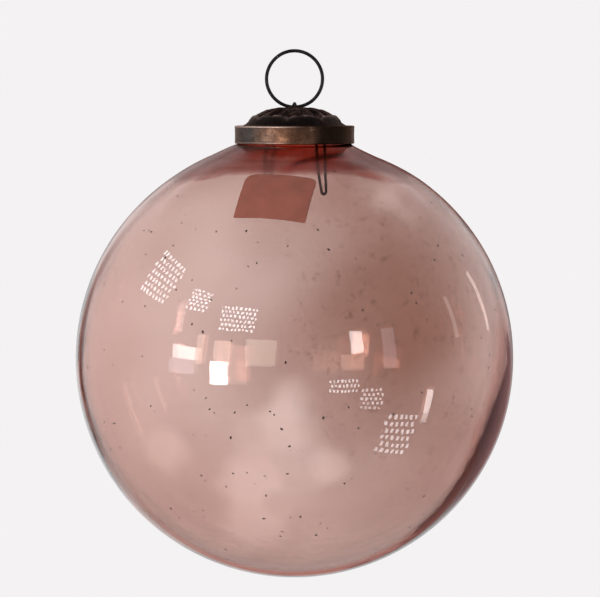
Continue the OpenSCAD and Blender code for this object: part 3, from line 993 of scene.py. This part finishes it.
lamps = {
    # place from the ball's centre, width, height, power, colour, and the rows and columns of its grid
    "windowLamp": ((-0.61, -0.79, -0.04), 0.166, 0.185, 1.93, white, None),
    "warmPanel": ((-0.59, -0.8, 0.13), 0.146, 0.185, 0.382, (1.0, 0.74, 0.58), None),
    "shadePanel": ((-0.47, -0.88, 0.04), 0.162, 0.315, 0.321, (1.0, 0.62, 0.52), None),
    "palePanel": ((-0.29, -0.95, 0.14), 0.262, 0.222, 0.475, (1.0, 0.95, 0.8), None),
    "frontPanel": ((-0.95, -1.60, 0.84), 0.66, 0.44, 12.0, cool, (6, 9)),
    "middlePanel": ((-1.24, -0.83, 0.86), 0.36, 0.30, 4.5, cool, (6, 5)),
    "backPanel": ((-1.50, -0.05, 0.95), 0.64, 0.54, 10.0, cool, (7, 8)),
    "lowPanel": ((0.54, -1.17, -0.17), 0.34, 0.15, 1.6, cool, (3, 8)),
    "lowerPanel": ((0.80, -0.97, -0.31), 0.26, 0.23, 1.5, cool, (5, 5)),
    "lowestPanel": ((0.364, -0.245, -0.24), 0.15, 0.16, 0.6, cool, (6, 6)),
    "sideBar": ((-0.83, -0.54, 0.1), 0.231, 0.093, 0.607, (1.0, 0.97, 0.95), None),
    "sideShade": ((-0.85, -0.53, 0.0), 0.254, 0.111, 0.195, (0.82, 0.85, 1.0), None),
    "warmColumn": ((-0.74, -0.66, 0.14), 0.061, 0.231, 0.199, (1.0, 0.68, 0.52), None),
    "rightWindow": ((0.51, -0.83, 0.22), 0.115, 0.185, 0.602, white, None),
    "rightWarm": ((0.48, -0.87, 0.06), 0.21, 0.13, 0.189, (1.0, 0.7, 0.56), None),
    "rightShade": ((0.74, -0.66, 0.15), 0.122, 0.315, 0.193, (0.86, 0.86, 1.0), None),
    "sliver": ((0.82, -0.27, -0.27), 0.062, 0.216, 0.337, (1.0, 0.98, 0.98), None),
    "sideStrip": ((1.00, 0.03, 0.26), 0.05, 0.28, 0.07, warm, None),
    "edgeStrip": ((0.86, 0.51, 0.22), 0.05, 0.30, 0.09, warm, None),
}


def addWorld():
    world = bpy.data.worlds.new("studio")
    scene.world = world
    world.use_nodes = True
    tree = world.node_tree
    tree.nodes.clear()
    add, join = tree.nodes.new, tree.links.new
    output, rays = add("ShaderNodeOutputWorld"), add("ShaderNodeLightPath")
    pale, soft = add("ShaderNodeBackground"), add("ShaderNodeBackground")
    choose = add("ShaderNodeMixShader")
    pale.inputs["Color"].default_value = (*studio["backdrop"], 1)
    soft.inputs["Color"].default_value = (*studio["ambient"], 1)
    soft.inputs["Strength"].default_value = studio["ambientLevel"]
    seen = rays.outputs["Is Camera Ray"]
    for name in ("Is Glossy Ray", "Is Transmission Ray"):
        either = add("ShaderNodeMath")
        either.operation = "MAXIMUM"
        join(seen, either.inputs[0])
        join(rays.outputs[name], either.inputs[1])
        seen = either.outputs["Value"]
    join(seen, choose.inputs["Fac"])
    join(soft.outputs["Background"], choose.inputs[1])
    join(pale.outputs["Background"], choose.inputs[2])
    join(choose.outputs["Shader"], output.inputs["Surface"])


def addFloor():
    radius, pale = studio["floorRadius"], studio["floorColour"]
    middle = Vector((0, 0, ballLow.z - studio["floorDrop"]))
    finish = Finish("paleFloor")
    grain = finish.cloud(studio["grainSize"], 4, 0.6)
    darker = tuple(studio["floorGrain"] * part for part in pale)
    finish.colour(finish.ramp(grain, (0.3, darker), (0.7, pale)))
    finish.setShader(Roughness=0.9)
    finish.fadeOut(studio["floorFull"])
    across, up = Vector((radius, 0, 0)), Vector((0, radius, 0))
    floor = softDisc("floor", middle, across, up, studio["floorSteps"], 1.0, finish.material)


def addCards():
    # cards with soft edges round the set, seen only in the glass and the metal
    finishes = {}
    for name, colour in cardColours.items():
        finishes[name] = finish = Finish(name + "Card")
        finish.setShader(Base_Color=(*colour, 1), Roughness=0.9)
        finish.fadeOut(studio["cardFull"])
    for name, (place, across, up, dense, colour, through) in cards.items():
        card = softDisc(name, ballCentre + Vector(place), Vector(across), Vector(up),
                        studio["cardSteps"], dense, finishes[colour].material)
        card.visible_camera = False
        card.visible_diffuse = False
        card.visible_transmission = through
        card.visible_shadow = False


def gridLamp(data, rows, columns):
    # slots in front of the lamp, each row set half a pitch aside from the next
    data.use_nodes = True
    tree = data.node_tree
    emission = next(node for node in tree.nodes if node.type == "EMISSION")

    def work(operation, first, second):
        node = tree.nodes.new("ShaderNodeMath")
        node.operation = operation
        for socket, value in zip(node.inputs, (first, second)):
            if hasattr(value, "is_output"):
                tree.links.new(value, socket)
            else:
                socket.default_value = value
        return node.outputs["Value"]

    place = tree.nodes.new("ShaderNodeNewGeometry").outputs["Parametric"]
    split = tree.nodes.new("ShaderNodeSeparateXYZ")
    tree.links.new(place, split.inputs["Vector"])
    row = work("MULTIPLY", split.outputs["Y"], rows)
    aside = work("MULTIPLY", work("MODULO", work("FLOOR", row, 0), 2), 0.5)
    column = work("ADD", work("MULTIPLY", split.outputs["X"], columns), aside)
    across = work("LESS_THAN", work("FRACT", column, 0), studio["slotWidth"])
    up = work("LESS_THAN", work("FRACT", row, 0), studio["slotHeight"])
    tree.links.new(work("MULTIPLY", across, up), emission.inputs["Strength"])


def addLamps():
    for name, (place, width, height, power, colour, grid) in lamps.items():
        data = bpy.data.lights.new(name, "AREA")
        data.shape = "RECTANGLE"
        data.size, data.size_y = width, height
        data.energy = power
        data.color = colour
        if grid:
            gridLamp(data, *grid)
        lamp = bpy.data.objects.new(name, data)
        lamp.location = ballCentre + Vector(place)
        lamp.rotation_euler = (-Vector(place)).to_track_quat("-Z", "Y").to_euler()
        lamp.visible_camera = False
        lamp.visible_transmission = not grid  # a grid shows as gloss, and not through the glass
        scene.collection.objects.link(lamp)


addWorld()
addFloor()
addCards()
addLamps()
scene.view_settings.view_transform = "Standard"
print("studio set:", len(lamps), "lamps")
